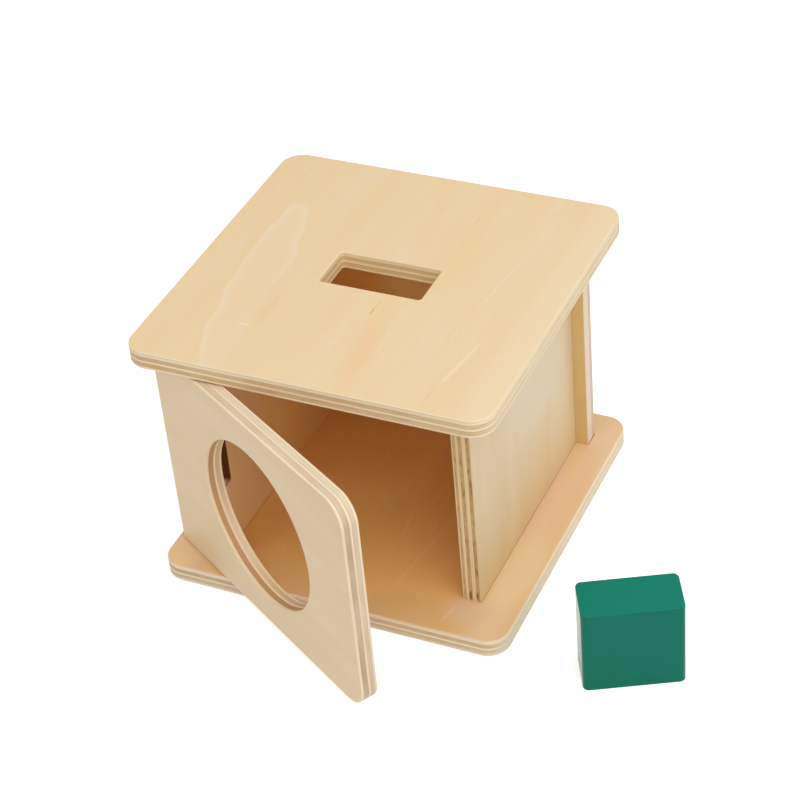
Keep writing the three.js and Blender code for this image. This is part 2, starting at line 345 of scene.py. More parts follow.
# Drawn steel. Real drawing lines are about 0.02 mm wide, and are drawn wider so that they show.
STEEL_DARK = "#a9acb0"
STEEL_LIGHT = "#c6c9cc"
STEEL_LINE = 0.2 * MM
STEEL_LINE_LENGTH = 12 * MM
STEEL_ROUGHNESS = 0.28
STEEL_DEPTH = 0.01 * MM
STEEL_BUMP = 0.25
STEEL_SEED = 41

# Floor and light, in metres and watts
FLOOR_SIDE = 40
FLOOR_COLOUR = "#f2f2f2"
FLOOR_GLOW = 0.55
WHITE = "#ffffff"
ROOM_LIGHT = 0.6
SOFTBOX_SIDE = 1.6
SOFTBOX_POWER = 12.4
SOFTBOX_PLACE = Vector((0.66, -0.4, 1.23))

# Camera, solved from straight edges in the photograph. Its sensor is in mm, as Blender asks.
IMAGE_SIDE = 800
FOCAL_LENGTH_PIXELS = 2258.5
SENSOR_WIDTH = 36
CAMERA_AZIMUTH = math.radians(27.3256)
CAMERA_ELEVATION = math.radians(37.4591)
CAMERA_ROLL = math.radians(-5.5416)
CAMERA_DISTANCE = 1091.533 * MM
CAMERA_TARGET = Vector((6.25, -3.485, 69.885)) * MM


# Outlines

def round_corner(before, corner, after, radius):
    """Points round one corner of an outline, each with its outward direction. The wood is on the left."""
    arriving = (corner - before).normalized()
    leaving = (after - corner).normalized()
    outward = Vector((arriving.y, -arriving.x))
    if radius == 0:
        next_outward = Vector((leaving.y, -leaving.x))
        return [(corner, (outward + next_outward) / (1 + outward.dot(next_outward)))]
    turn = math.atan2(arriving.cross(leaving), arriving.dot(leaving))
    bend = math.copysign(radius, turn)
    centre = corner - arriving * radius * math.tan(abs(turn) / 2) - outward * bend
    points = []
    for step in range(ARC_STEPS + 1):
        direction = Matrix.Rotation(turn * step / ARC_STEPS, 2) @ outward
        points.append((centre + direction * bend, direction))
    return points


def outline(corners):
    """A closed outline through corners (x, y, radius), anticlockwise, or clockwise for a hole."""
    points = []
    for index, (x, y, radius) in enumerate(corners):
        before = Vector(corners[index - 1][:2])
        after = Vector(corners[(index + 1) % len(corners)][:2])
        points += round_corner(before, Vector((x, y)), after, radius)
    return points


def rectangle(left, bottom, right, top, radius=0):
    """The corners of a rectangle, anticlockwise, all with one radius."""
    return [(left, bottom, radius), (right, bottom, radius), (right, top, radius), (left, top, radius)]


def centred_rectangle(width, depth, radius, middle_y=0):
    """The corners of a rectangle whose middle lies at x = 0."""
    return rectangle(-width / 2, middle_y - depth / 2, width / 2, middle_y + depth / 2, radius)


def round_hole(x, y, radius, steps):
    """The outline of a round hole, clockwise, so that the wood is outside it."""
    points = []
    for step in range(steps):
        angle = -2 * math.pi * step / steps
        outward = -Vector((math.cos(angle), math.sin(angle)))
        points.append((Vector((x, y)) - outward * radius, outward))
    return points


# Meshes

def ring_of(mesh, points, inset, height):
    """A ring of vertices at one height, inset from an outline."""
    return [mesh.verts.new((*(point - outward * inset), height)) for point, outward in points]


def bridge(mesh, low, high):
    """Joins two rings by a band of faces."""
    for index in range(len(low)):
        mesh.faces.new((low[index - 1], low[index], high[index], high[index - 1]))


def rim_of(mesh, ring):
    """The edges along a ring."""
    return [mesh.edges.get((ring[index - 1], ring[index])) for index in range(len(ring))]


def eased_profile(thickness, ease):
    """Inset and height of each ring from the under face to the upper one, round both eased edges."""
    lower = []
    for step in range(EASE_STEPS + 1):
        angle = step / EASE_STEPS * math.pi / 2
        lower.append((ease * (1 - math.sin(angle)), ease * (1 - math.cos(angle))))
    return lower + [(inset, thickness - height) for inset, height in reversed(lower)]


def shade(mesh):
    """Shades a mesh smooth on its rounds and crisp on its sharp edges."""
    for face in mesh.faces:
        face.smooth = True
    for edge in mesh.edges:
        edge.smooth = edge.calc_face_angle(0) < SHARP_ANGLE


def finished(mesh, name):
    """Turns a finished mesh into an object."""
    bmesh.ops.recalc_face_normals(mesh, faces=mesh.faces)
    shade(mesh)
    data = bpy.data.meshes.new(name)
    mesh.to_mesh(data)
    mesh.free()
    made = bpy.data.objects.new(name, data)
    bpy.context.scene.collection.objects.link(made)
    return made


def sheet(name, outlines, thickness, ease, pockets=()):
    """A sheet that lies from z = 0 up, cut to outlines and eased along their edges.
    A pocket is an outline with the heights of its mouth and its floor."""
    mesh = bmesh.new()
    under = []
    over = []
    for points in outlines:
        rings = [ring_of(mesh, points, inset, height) for inset, height in eased_profile(thickness, ease)]
        for low, high in zip(rings, rings[1:]):
            bridge(mesh, low, high)
        under += rim_of(mesh, rings[0])
        over += rim_of(mesh, rings[-1])
    for points, mouth_height, floor_height in pockets:
        mouth = ring_of(mesh, points, 0, mouth_height)
        floor = ring_of(mesh, points, 0, floor_height)
        bridge(mesh, mouth, floor)
        bmesh.ops.triangle_fill(mesh, use_beauty=True, edges=rim_of(mesh, floor))
        if mouth_height > floor_height:
            over += rim_of(mesh, mouth)
        else:
            under += rim_of(mesh, mouth)
    for edges in (under, over):
        bmesh.ops.triangle_fill(mesh, use_beauty=True, edges=edges)
    return finished(mesh, name)


def turned(name, profile, sides):
    """A solid of revolution about Z, from (radius, height) pairs."""
    mesh = bmesh.new()
    rings = []
    for radius, height in profile:
        rings.append(ring_of(mesh, round_hole(0, 0, radius, sides), 0, height))
    for low, high in zip(rings, rings[1:]):
        bridge(mesh, low, high)
    mesh.faces.new(rings[0])
    mesh.faces.new(rings[-1])
    return finished(mesh, name)


def shape_by(piece, tool, operation):
    """Cuts a piece by a tool, or keeps what the two share, and uses the tool up."""
    change = piece.modifiers.new("shape", "BOOLEAN")
    change.operation = operation
    change.object = tool
    bpy.context.view_layer.update()
    graph = bpy.context.evaluated_depsgraph_get()
    shaped = bpy.data.meshes.new_from_object(piece.evaluated_get(graph))
    mesh = bmesh.new()
    mesh.from_mesh(shaped)
    shade(mesh)
    mesh.to_mesh(shaped)
    mesh.free()
    piece.modifiers.clear()
    piece.data = shaped
    bpy.data.objects.remove(tool)


# Materials

def linear(hex_colour):
    """An sRGB hex colour as a linear one, by the curve of the sRGB standard."""
    levels = []
    for byte in bytes.fromhex(hex_colour[1:]):
        level = byte / SRGB_FULL
        if level <= SRGB_TOE:
            levels.append(level / SRGB_TOE_SLOPE)
        else:
            levels.append(((level + SRGB_OFFSET) / (1 + SRGB_OFFSET)) ** SRGB_POWER)
    return [*levels, 1]


def set_inputs(tree, node, values):
    """Fills a node's inputs, each by its name or by its place among those in use. Another node's output
    is linked, anything else is set, and a hex colour is made linear."""
    in_use = [socket for socket in node.inputs if socket.enabled]
    for key, value in values.items():
        socket = in_use[key] if isinstance(key, int) else node.inputs[key]
        if isinstance(value, bpy.types.NodeSocket):
            tree.links.new(value, socket)
        else:
            socket.default_value = linear(value) if isinstance(value, str) else value


def add(tree, kind, *values, named=None, stops=(), **settings):
    """Adds a node with its settings and links, and gives those of its outputs that are in use, by name.
    The values fill its inputs in their order."""
    made = tree.nodes.new("ShaderNode" + kind)
    for name, value in settings.items():
        setattr(made, name, value)
    set_inputs(tree, made, {**dict(enumerate(values)), **(named or {})})
    if stops:
        elements = made.color_ramp.elements
        elements.remove(elements[1])
        elements[0].position, elements[0].color = stops[0]
        for place, colour in stops[1:]:
            elements.new(place).color = colour
    return {socket.name: socket for socket in made.outputs if socket.enabled}


def start_material(name):
    """A new material, with its node tree and its shader."""
    material = bpy.data.materials.new(name)
    material.use_nodes = True
    return material, material.node_tree, material.node_tree.nodes["Principled BSDF"]


def cube(side):
    """The same size along all three axes."""
    return (side, side, side)


def along_grain(grain, across, along):
    """The size of a mark along each axis of a sheet whose grain runs along X or Y."""
    return (along, across, across) if grain == "X" else (across, along, across)


def drift(tree, here, size, seed, octaves=NOISE_OCTAVES):
    """A noise whose cells have the given size along each axis."""
    cells = add(tree, "Mapping", named={"Vector": here, "Scale": [1 / side for side in size]})["Vector"]
    pattern = {"Vector": cells, "W": seed, "Scale": 1, "Detail": octaves}
    return add(tree, "TexNoise", named=pattern, noise_dimensions="4D")["Fac"]


def spread_about(roughness):
    """The least and the greatest roughness of a finish that varies a little."""
    return roughness - ROUGHNESS_SPREAD, roughness + ROUGHNESS_SPREAD


def grey(level):
    """A ramp colour that stands for a number."""
    return [level, level, level, 1]


def ply_stops(plies):
    """Ramp stops for how brown the plies are, and for the thin glue lines between them."""
    whole = sum(share for share, brown in plies)
    brown_stops = []
    glue_stops = []
    low = 0
    for share, brown in plies:
        if low > 0:
            glue_stops += [(low - GLUE_WIDTH, grey(0)), (low, grey(1)), (low + GLUE_WIDTH, grey(0))]
        high = low + share / whole
        brown_stops += [(low + PLY_BLUR, grey(brown)), (high - PLY_BLUR, grey(brown))]
        low = high
    return brown_stops, glue_stops


def with_marks(tree, here, colour, marks):
    """Adds single streaks, scratches, dark spots and soft patches, each soft at its ends. Some patches are
    painted shade and some painted light, as noted where they are listed.
    """
    for middle, half_sizes, turn, mark_colour, strength in marks:
        place = {
            "Vector": here,
            "Location": Vector(middle) * MM,
            "Rotation": (0, 0, math.radians(turn)),
            "Scale": Vector(half_sizes) * MM,
        }
        unit = add(tree, "Mapping", named=place, vector_type="TEXTURE")["Vector"]
        far = add(tree, "VectorMath", unit, operation="LENGTH")["Value"]
        fading = (1, MARK_CORE, 0, strength)
        shown = add(tree, "MapRange", far, *fading, interpolation_type="SMOOTHSTEP")["Result"]
        colour = add(tree, "Mix", shown, colour, mark_colour, data_type="RGBA")["Result"]
    return colour


def face_veneer(tree, here, height, thickness, wood, streak):
    """The two faces of a sheet: soft bands along the grain, and fine pale lines in patches."""
    broad = drift(tree, here, along_grain(wood.grain, FIGURE_ACROSS, FIGURE_ALONG), wood.seed + FIGURE)
    patch = drift(tree, here, along_grain(wood.grain, PATCH_ACROSS, PATCH_ALONG), wood.seed + PATCH)
    vessel_size = along_grain(wood.grain, VESSEL_ACROSS, VESSEL_ALONG)
    vessel = drift(tree, here, vessel_size, wood.seed + VESSEL, LINE_OCTAVES)
    tone = add(tree, "Mix", STREAK_SHARE, broad, streak)["Result"]
    tone = add(tree, "MapRange", tone, *TONE_RANGE)["Result"]
    # Each face has its own colours; on the faces inside the box they are painted shade
    upper = add(tree, "Math", height, thickness / 2, operation="GREATER_THAN")["Value"]
    darker, paler = [
        add(tree, "Mix", upper, under_colour, upper_colour, data_type="RGBA")["Result"]
        for under_colour, upper_colour in zip(wood.under, wood.upper)]
    colour = add(tree, "Mix", tone, darker, paler, data_type="RGBA")["Result"]
    line_colour = add(tree, "Mix", LINE_WHITENESS, paler, LINE_PALE, data_type="RGBA")["Result"]
    patchy = add(tree, "MapRange", patch, *PATCH_RANGE, 0, wood.streaks)["Result"]
    for lines, faint_to_full, strength in (
            (streak, STREAK_RANGE, STREAK_STRENGTH), (vessel, VESSEL_RANGE, VESSEL_STRENGTH)):
        line = add(tree, "MapRange", lines, *faint_to_full, 0, strength)["Result"]
        line = add(tree, "Math", line, patchy, operation="MULTIPLY")["Value"]
        colour = add(tree, "Mix", line, colour, line_colour, data_type="RGBA")["Result"]
    return colour


def ply_edge(tree, here, normal, height, thickness, wood, fleck, edge):
    """The edges of a sheet: pale and brown plies with thin dark lines between and along them."""
    brown_stops, glue_stops = ply_stops(wood.plies)
    wander = drift(tree, here, cube(PLY_WANDER_LENGTH), wood.seed + WANDER)
    shift = add(tree, "MapRange", wander, 0, 1, -PLY_WANDER, PLY_WANDER)["Result"]
    level = add(tree, "Math", height, shift, operation="ADD")["Value"]
    level = add(tree, "MapRange", level, 0, thickness)["Result"]
    band = add(tree, "ValToRGB", level, stops=brown_stops)["Color"]
    glue = add(tree, "ValToRGB", level, stops=glue_stops)["Color"]
    glue = add(tree, "Math", glue, GLUE_STRENGTH, operation="MULTIPLY")["Value"]
    layer = drift(tree, here, (LAYER_LENGTH, LAYER_LENGTH, LAYER_DEPTH), wood.seed + LAYER)
    layer = add(tree, "MapRange", layer, *LAYER_RANGE, 0, LAYER_STRENGTH)["Result"]
    lines = add(tree, "Math", glue, layer, operation="MAXIMUM")["Value"]

    # How brown the plies look depends on which way the edge faces, and fades in places
    squared = add(tree, "VectorMath", normal, normal, operation="MULTIPLY")["Vector"]
    facing = add(tree, "VectorMath", squared, (*wood.brown_ends, 0), operation="DOT_PRODUCT")["Value"]
    fade = add(tree, "MapRange", wander, *TONE_RANGE, 1, 1 - PLY_FADE)["Result"]
    brown = add(tree, "Math", band, facing, operation="MULTIPLY")["Value"]
    brown = add(tree, "Math", brown, fade, operation="MULTIPLY")["Value"]
    spot = add(tree, "MapRange", fleck, *FLECK_RANGE)["Result"]
    spot = add(tree, "Math", spot, brown, operation="MULTIPLY")["Value"]
    spot = add(tree, "Math", spot, wood.flecks, operation="MULTIPLY")["Value"]
    colour = add(tree, "Mix", brown, wood.pale, wood.brown, data_type="RGBA")["Result"]
    colour = add(tree, "Mix", lines, colour, GLUE_BROWN, data_type="RGBA")["Result"]
    colour = add(tree, "Mix", spot, colour, FLECK_DARK, data_type="RGBA")["Result"]
    return edge(tree, here, band, colour) if edge else colour


def lacquered_plywood(name, thickness, wood, figure=None, edge=None, marks=()):
    """Basswood plywood, sanded and sprayed with clear satin lacquer. Its faces are cream with fine straight
    grain and pale vessel lines in patches. Its edges show pale and brown plies, flecked where fibres end.
    The functions given as figure and edge add what one piece alone has on its faces and its cut edges."""
    material, tree, shader = start_material(name)
    coordinates = add(tree, "TexCoord")
    here = coordinates["Object"]
    height = add(tree, "SeparateXYZ", here)["Z"]
    wave = drift(tree, here, cube(WAVE_LENGTH), wood.seed + WAVE)
    waved = add(tree, "VectorMath", wave, cube(WAVE_HEIGHT), here, operation="MULTIPLY_ADD")["Vector"]
    streak_size = along_grain(wood.grain, STREAK_ACROSS, STREAK_ALONG)
    streak = drift(tree, waved, streak_size, wood.seed + STREAK, LINE_OCTAVES)
    fleck = drift(tree, here, (FLECK_LENGTH, FLECK_LENGTH, FLECK_DEPTH), wood.seed + FLECK)
    face = face_veneer(tree, waved, height, thickness, wood, streak)
    if figure:
        face = figure(tree, here, face)
    ply = ply_edge(tree, here, coordinates["Normal"], height, thickness, wood, fleck, edge)

    # A thin skin of face veneer shows along each edge
    skin = VENEER_SKIN / thickness
    skin_stops = [(0, grey(1)), (skin, grey(0)), (1 - skin, grey(0)), (1, grey(1))]
    level = add(tree, "MapRange", height, 0, thickness)["Result"]
    near_face = add(tree, "ValToRGB", level, stops=skin_stops)["Color"]
    colour = add(tree, "Mix", near_face, ply, face, data_type="RGBA")["Result"]
    colour = with_marks(tree, here, colour, marks)

    satin = add(tree, "MapRange", streak, 0, 1, *spread_about(FACE_ROUGHNESS))["Result"]
    rough = add(tree, "Mix", near_face, EDGE_ROUGHNESS, satin)["Result"]
    relief = add(tree, "Mix", near_face, fleck, streak)["Result"]
    raised = {"Height": relief, "Strength": GRAIN_BUMP, "Distance": GRAIN_DEPTH}
    bump = add(tree, "Bump", named=raised)["Normal"]
    set_inputs(tree, shader, {
        "Base Color": colour, "Roughness": rough, "Normal": bump,
        "IOR": LACQUER_IOR, "Specular IOR Level": LACQUER_SPECULAR,
    })
    return material


def tongue_edge(tree, run, points):
    """How far right an edge of the tongue lies, through points (distance in front of the tip, x) in mm."""
    left, right = TONGUE_SPAN
    stops = [(far * MM / TONGUE_LENGTH, grey((x * MM - left) / (right - left))) for far, x in points]
    share = add(tree, "MapRange", run, 0, TONGUE_LENGTH)["Result"]
    share = add(tree, "ValToRGB", share, stops=stops)["Color"]
    return add(tree, "MapRange", share, 0, 1, left, right)["Result"]


def pale_tongue(tree, here, face):
    """A tongue of paler wood that starts near the back edge. Its margins are palest, and the right one
    fades toward the front."""
    place = add(tree, "SeparateXYZ", here)
    run = add(tree, "Math", TONGUE_TIP, place["Y"], operation="SUBTRACT")["Value"]
    wander = drift(tree, here, cube(TONGUE_WANDER_LENGTH), TONGUE_SEED, TONGUE_OCTAVES)
    shift = add(tree, "MapRange", wander, 0, 1, -TONGUE_WANDER, TONGUE_WANDER)["Result"]
    x = add(tree, "Math", place["X"], shift, operation="ADD")["Value"]
    left = tongue_edge(tree, run, TONGUE_LEFT)
    right = tongue_edge(tree, run, TONGUE_RIGHT)
    from_left = add(tree, "Math", x, left, operation="SUBTRACT")["Value"]
    from_right = add(tree, "Math", right, x, operation="SUBTRACT")["Value"]
    inside = add(tree, "Math", from_left, from_right, operation="MINIMUM")["Value"]
    inside = add(tree, "Math", inside, run, operation="MINIMUM")["Value"]
    inside = add(tree, "MapRange", inside, 0, TONGUE_BLUR)["Result"]
    left_margin = add(tree, "MapRange", from_left, TONGUE_MARGIN, 0, 0, MARGIN_STRENGTH)["Result"]
    fading = add(tree, "MapRange", run, *TONGUE_FADE, MARGIN_STRENGTH, 0)["Result"]
    right_margin = add(tree, "MapRange", from_right, TONGUE_MARGIN, 0, 0, fading)["Result"]
    share = add(tree, "Math", left_margin, right_margin, operation="MAXIMUM")["Value"]
    share = add(tree, "Math", share, TONGUE_STRENGTH, operation="ADD")["Value"]
    share = add(tree, "Math", share, inside, operation="MULTIPLY")["Value"]
    return add(tree, "Mix", share, face, TONGUE_PALE, data_type="RGBA")["Result"]


def joint_shadow_line(tree, here, face):
    """A thin line of painted shadow along the foot of a wall, where it enters its groove."""
    height = add(tree, "SeparateXYZ", here)["Y"]
    fading = (GROOVE_DEPTH + JOINT_SHADOW_WIDTH, GROOVE_DEPTH, 0, JOINT_SHADOW_STRENGTH)
    line = add(tree, "MapRange", height, *fading)["Result"]
    return add(tree, "Mix", line, face, JOINT_SHADOW_COLOUR, data_type="RGBA")["Result"]


def painted_foot_bounce(tree, here, face):
    """The right wall is painted warmer toward its foot, as warm light bounced from the base."""
    height = add(tree, "SeparateXYZ", here)["Y"]
    low = add(tree, "MapRange", height, FOOT_HEIGHT, GROOVE_DEPTH)["Result"]
    face = add(tree, "Mix", low, face, FOOT_BOUNCE_TINT, data_type="RGBA", blend_type="MULTIPLY")["Result"]
    return joint_shadow_line(tree, here, face)


def painted_depth_shade(tree, here, face):
    """The left wall's inner face is painted warmer and deeper far into the box, as shade, and its painted
    joint shadow is lost there."""
    place = add(tree, "SeparateXYZ", here)
    inner = add(tree, "Math", place["Z"], WALL_SHEET / 2, operation="GREATER_THAN")["Value"]
    growing = (DEPTH_START, DEPTH_FULL, 0, inner)
    deep = add(tree, "MapRange", place["X"], *growing, interpolation_type="SMOOTHSTEP")["Result"]
    face = joint_shadow_line(tree, here, face)
    return add(tree, "Mix", deep, face, DEPTH_SHADE_COLOUR, data_type="RGBA")["Result"]


def slot_plies(tree, here, band, ply):
    """All four cut faces of the slot show their plies alike."""
    away = add(tree, "VectorMath", here, operation="ABSOLUTE")["Vector"]
    away = add(tree, "SeparateXYZ", away)
    side = SLOT_WIDTH / 2 + EASE
    back = SLOT_SETBACK + SLOT_DEPTH / 2 + EASE
    between_sides = add(tree, "Math", away["X"], side, operation="LESS_THAN")["Value"]
    before_back = add(tree, "Math", away["Y"], back, operation="LESS_THAN")["Value"]
    in_slot = add(tree, "Math", between_sides, before_back, operation="MULTIPLY")["Value"]
    cut = add(tree, "Mix", band, SLOT_PALE, SLOT_BROWN, data_type="RGBA")["Result"]
    return add(tree, "Mix", in_slot, ply, cut, data_type="RGBA")["Result"]


def rim_plies(tree, here, band, ply):
    """Round the window the plies are browner, burnished by the cutter. Low on the left the half-brown one
    pales and the brown one has red flecks."""
    flat = add(tree, "VectorMath", here, (1, 1, 0), operation="MULTIPLY")["Vector"]
    middle = Vector((WINDOW_X, DOOR_HEIGHT / 2, 0))
    far = add(tree, "VectorMath", flat, middle, operation="DISTANCE")["Value"]
    near = add(tree, "MapRange", far, WINDOW_RADIUS + 2 * EASE, WINDOW_RADIUS + EASE)["Result"]
    reddest = middle + Vector((math.cos(RED_ANGLE), math.sin(RED_ANGLE), 0)) * WINDOW_RADIUS
    off = add(tree, "VectorMath", flat, reddest, operation="DISTANCE")["Value"]
    low_left = add(tree, "MapRange", off, RED_REACH, 0, interpolation_type="SMOOTHSTEP")["Result"]
    paling = add(tree, "MapRange", low_left, 0, 1, 1, RIM_PALING)["Result"]
    band = add(tree, "Math", band, paling, operation="POWER")["Value"]
    fleck = drift(tree, here, cube(RED_FLECK), RED_SEED)
    fleck = add(tree, "MapRange", fleck, *RED_RANGE)["Result"]
    red = add(tree, "Math", low_left, fleck, operation="MULTIPLY")["Value"]
    brown = add(tree, "Mix", red, RIM_BROWN, RIM_RED, data_type="RGBA")["Result"]
    rim = add(tree, "Mix", band, RIM_PALE, brown, data_type="RGBA")["Result"]
    return add(tree, "Mix", near, ply, rim, data_type="RGBA")["Result"]


def shaded_notch(tree, here, _band, ply):
    """The long face of the notch is painted dark over all its plies, as the deep shade behind the door. Its
    ends keep their plies.
    """
    place = add(tree, "SeparateXYZ", here)
    deep = add(tree, "Math", place["X"], NOTCH_DEPTH + GLUE_LINE, operation="LESS_THAN")["Value"]
    half = NOTCH_LENGTH / 2
    middle = (LEFT_HIGH.z - LEFT_LOW.z) / 2
    aside = add(tree, "Math", place["Y"], middle, operation="SUBTRACT")["Value"]
    aside = add(tree, "Math", aside, operation="ABSOLUTE")["Value"]
    within = add(tree, "MapRange", aside, half, half - NOTCH_CORNER / 2)["Result"]
    dark = add(tree, "Math", deep, within, operation="MULTIPLY")["Value"]
    return add(tree, "Mix", dark, ply, NOTCH_SHADE, data_type="RGBA")["Result"]


def floor_shade_and_scuffs(tree, here, face):
    """The floor inside the box: painted shade, a warmer and deeper colour that grows toward the back, with
    faint scuffs where the block lands and is pulled out."""
    place = add(tree, "SeparateXYZ", here)
    aside = add(tree, "Math", place["X"], operation="ABSOLUTE")["Value"]
    between = add(tree, "MapRange", aside, RIGHT_HIGH.x, RIGHT_LOW.x)["Result"]
    # Painted shade: the floor between the walls turns warmer and deeper from the front toward the back
    growing = (PAINTED_SHADE_START, PAINTED_SHADE_FULL, 0, PAINTED_SHADE_STRENGTH)
    behind = add(tree, "MapRange", place["Y"], *growing, interpolation_type="SMOOTHSTEP")["Result"]
    inside = add(tree, "Math", between, behind, operation="MULTIPLY")["Value"]
    before_back = add(tree, "Math", place["Y"], BACK_HIGH.y, operation="LESS_THAN")["Value"]
    inside = add(tree, "Math", inside, before_back, operation="MULTIPLY")["Value"]
    face = add(tree, "Mix", inside, face, PAINTED_SHADE_COLOUR, data_type="RGBA")["Result"]
    scuff_size = (SCUFF_SPACING, SCUFF_LENGTH, SCUFF_SPACING)
    swirl = drift(tree, here, scuff_size, SCUFF_SEED, SCUFF_OCTAVES)
    off = add(tree, "Math", swirl, SCUFF_LEVEL, operation="SUBTRACT")["Value"]
    off = add(tree, "Math", off, operation="ABSOLUTE")["Value"]
    scuff = add(tree, "MapRange", off, SCUFF_WIDTH, 0, 0, SCUFF_STRENGTH)["Result"]
    worn = drift(tree, here, cube(WORN_PATCH), WORN_SEED)
    worn = add(tree, "MapRange", worn, *WORN_RANGE, 0, inside)["Result"]
    scuff = add(tree, "Math", scuff, worn, operation="MULTIPLY")["Value"]
    return add(tree, "Mix", scuff, face, SCUFF_PALE, data_type="RGBA")["Result"]


def green_enamel():
    """Satin enamel sprayed on beech: an even deep green, with the sides painted deeper and the top lighter
    as shade and light, and a faint orange peel through which the grain still shows."""
    material, tree, shader = start_material("sprayed_green_enamel")
    coordinates = add(tree, "TexCoord")
    here = coordinates["Object"]
    facing_up = add(tree, "SeparateXYZ", coordinates["Normal"])["Z"]
    cloud = drift(tree, here, cube(PAINT_CLOUD), PAINT_CLOUD_SEED)
    peel = drift(tree, here, cube(PAINT_PEEL), PAINT_PEEL_SEED)
    grain_size = along_grain("X", PAINT_GRAIN_ACROSS, PAINT_GRAIN_ALONG)
    grain = drift(tree, here, grain_size, PAINT_GRAIN_SEED)
    # Painted light and shade: the top is lighter than the sides
    colour = add(tree, "Mix", facing_up, PAINT_SHADED_SIDE, PAINT_LIT_TOP, data_type="RGBA")["Result"]
    deeper = add(tree, "Math", cloud, PAINT_CLOUD_SHARE, operation="MULTIPLY")["Value"]
    colour = add(tree, "Mix", deeper, colour, PAINT_DEEP, data_type="RGBA")["Result"]

    rough = add(tree, "MapRange", cloud, 0, 1, *spread_about(PAINT_ROUGHNESS))["Result"]
    relief = add(tree, "Mix", PAINT_GRAIN_SHARE, peel, grain)["Result"]
    raised = {"Height": relief, "Strength": PAINT_BUMP, "Distance": PAINT_DEPTH}
    bump = add(tree, "Bump", named=raised)["Normal"]
    set_inputs(tree, shader, {
        "Base Color": colour, "Roughness": rough, "Normal": bump,
        "IOR": PAINT_IOR, "Specular IOR Level": PAINT_SPECULAR,
    })
    return material


def drawn_steel():
    """Bright drawn steel rod: a clean grey metal with fine lines along its length."""
    material, tree, shader = start_material("bright_drawn_steel")
    here = add(tree, "TexCoord")["Object"]
    lines = drift(tree, here, (STEEL_LINE, STEEL_LINE, STEEL_LINE_LENGTH), STEEL_SEED)
    colour = add(tree, "Mix", lines, STEEL_DARK, STEEL_LIGHT, data_type="RGBA")["Result"]
    rough = add(tree, "MapRange", lines, 0, 1, *spread_about(STEEL_ROUGHNESS))["Result"]
    raised = {"Height": lines, "Strength": STEEL_BUMP, "Distance": STEEL_DEPTH}
    bump = add(tree, "Bump", named=raised)["Normal"]
    set_inputs(tree, shader, {"Base Color": colour, "Roughness": rough, "Normal": bump, "Metallic": 1})
    return material


# Pieces

def fit(piece, node, body, material, place):
    """Puts a piece in its place in the frame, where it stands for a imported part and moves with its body."""
    piece.matrix_world = place
    piece.data.materials.clear()
    piece.data.materials.append(material)
    shading = piece.modifiers.new("even_shading", "WEIGHTED_NORMAL")
    shading.keep_sharp = True
    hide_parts(node)
    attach(piece, body)


def wall_grooves():
    """The outline of the one groove that takes all three walls."""
    outer = RIGHT_HIGH.x + GLUE_LINE
    inner = RIGHT_LOW.x - GLUE_LINE
    end = BACK_HIGH.x + GROOVE_RUNOUT
    front = RIGHT_LOW.y - GLUE_LINE
    middle = BACK_LOW.y - GLUE_LINE
    back = BACK_HIGH.y + GLUE_LINE
    right_half = [
        (inner, middle), (inner, front), (outer, front), (outer, middle), (end, middle), (end, back)]
    left_half = [(-x, y) for x, y in reversed(right_half)]
    return outline([(x, y, 0) for x, y in reversed(right_half + left_half)])


def panel(name, holes, mouth, inward):
    """A base or top panel. Its grooves and pin hole are sunk from the face at the height of mouth, and
    inward is 1 for up or -1 for down."""
    size = BASE_HIGH - BASE_LOW
    pin_hole = round_hole(PIVOT.x, PIVOT.y, PIN_RADIUS + PIN_RUNNING_CLEARANCE, PIN_SIDES)
    pockets = [
        (wall_grooves(), mouth, mouth + inward * GROOVE_DEPTH),
        (pin_hole, mouth, mouth + inward * (PIN_SEAT + PIN_END_CLEARANCE)),
    ]
    outlines = [outline(centred_rectangle(size.x, size.y, PANEL_CORNER)), *holes]
    return sheet(name, outlines, PANEL_SHEET, EASE, pockets)


def make_base():
    """The base, which takes the walls and the lower pin from above."""
    piece = panel("plywood_base", [], PANEL_SHEET, -1)
    wood = lacquered_plywood(
        "lacquered_plywood_base", PANEL_SHEET, BASE_WOOD, figure=floor_shade_and_scuffs, marks=BASE_MARKS)
    fit(piece, "base_panel", "carcass", wood, Matrix.Translation((0, 0, BASE_LOW.z)))


def make_top():
    """The top with its posting slot, which takes the walls and the upper pin from below."""
    slot = outline(centred_rectangle(SLOT_WIDTH, SLOT_DEPTH, SLOT_CORNER, SLOT_SETBACK)[::-1])
    piece = panel("plywood_top", [slot], 0, 1)
    wood = lacquered_plywood(
        "lacquered_plywood_top", PANEL_SHEET, TOP_WOOD,
        figure=pale_tongue, edge=slot_plies, marks=TOP_MARKS)
    fit(piece, "top_panel", "carcass", wood, Matrix.Translation((0, 0, TOP_LOW.z)))


def standing_side(low):
    """Stands a sheet along Y: its length runs back, its height up and its thickness to the right."""
    turn = Matrix(((0, 0, 1), (1, 0, 0), (0, 1, 0))).to_4x4()
    return Matrix.Translation(low) @ turn


def make_right_wall():
    """The right wall, a plain sheet."""
    size = RIGHT_HIGH - RIGHT_LOW
    piece = sheet("plywood_right_wall", [outline(rectangle(0, 0, size.y, size.z))], size.x, WALL_EASE)
    wood = lacquered_plywood(
        "lacquered_plywood_right_wall", WALL_SHEET, RIGHT_WOOD, figure=painted_foot_bounce, marks=RIGHT_WALL_MARKS)
    fit(piece, "right_wall", "carcass", wood, standing_side(RIGHT_LOW))


